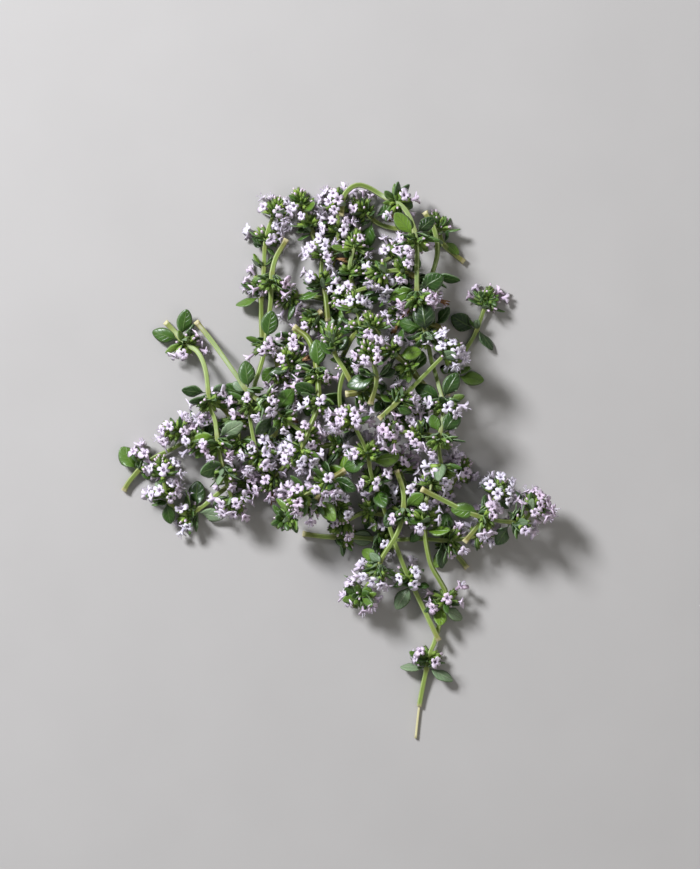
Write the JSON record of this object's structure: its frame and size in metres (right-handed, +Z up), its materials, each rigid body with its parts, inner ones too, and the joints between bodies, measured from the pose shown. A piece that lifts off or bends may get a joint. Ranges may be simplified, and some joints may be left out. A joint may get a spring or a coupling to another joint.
{
  "type": "thyme bundle",
  "caption": "Loose heap of cut flowering thyme sprigs with small oval leaves and whorls of pale lilac florets, lying flat as a kitchen or still-life herb bundle.",
  "frame": {"origin": "middle of the heap's footprint, on the surface it lies on", "axes": "+Z up from the surface; +Y along the heap, away from the one long sprig that trails out of it; +X to the right seen from above"},
  "size_m": [0.1528, 0.1955, 0.0355],
  "materials": {
    "leaf": "fresh oval leaves, dark green and slightly glossy above, pale grey-green with raised veins below",
    "stem": "square yellow-green stems with lighter edges and paler cut ends",
    "calyx": "bright green ribbed calyces and closed buds",
    "petal": "soft pale lilac petals, whiter at the lobes and darker in the throat",
    "withered": "dry orange-brown spent florets",
    "pith": "pale woody core of a stripped or cut stem end"
  },
  "bodies": {
    "root": {"sprig_01": "leaf", "sprig_02": "leaf", "sprig_03": "leaf", "sprig_04": "leaf", "sprig_05": "leaf", "sprig_06": "leaf", "sprig_07": "leaf", "sprig_08": "leaf", "sprig_09": "leaf", "sprig_10": "leaf", "sprig_11": "leaf", "sprig_12": "leaf", "sprig_13": "leaf", "sprig_14": "leaf", "sprig_15": "leaf", "sprig_16": "leaf", "sprig_17": "leaf", "sprig_18": "leaf", "sprig_19": "leaf", "sprig_20": "leaf", "sprig_21": "leaf", "sprig_22": "leaf", "sprig_23": "leaf", "sprig_24": "leaf", "sprig_25": "leaf", "sprig_26": "leaf", "sprig_27": "leaf", "sprig_28": "leaf", "sprig_29": "leaf", "sprig_30": "leaf", "sprig_31": "leaf", "sprig_32": "leaf", "sprig_33": "leaf", "sprig_34": "leaf", "sprig_35": "leaf", "sprig_36": "leaf", "sprig_37": "leaf", "sprig_38": "leaf", "sprig_39": "leaf", "sprig_40": "leaf", "sprig_41": "leaf", "sprig_42": "leaf", "sprig_43": "leaf", "sprig_44": "leaf", "sprig_45": "leaf", "sprig_46": "leaf", "sprig_47": "leaf", "sprig_48": "leaf"}
  },
  "joints": []
}
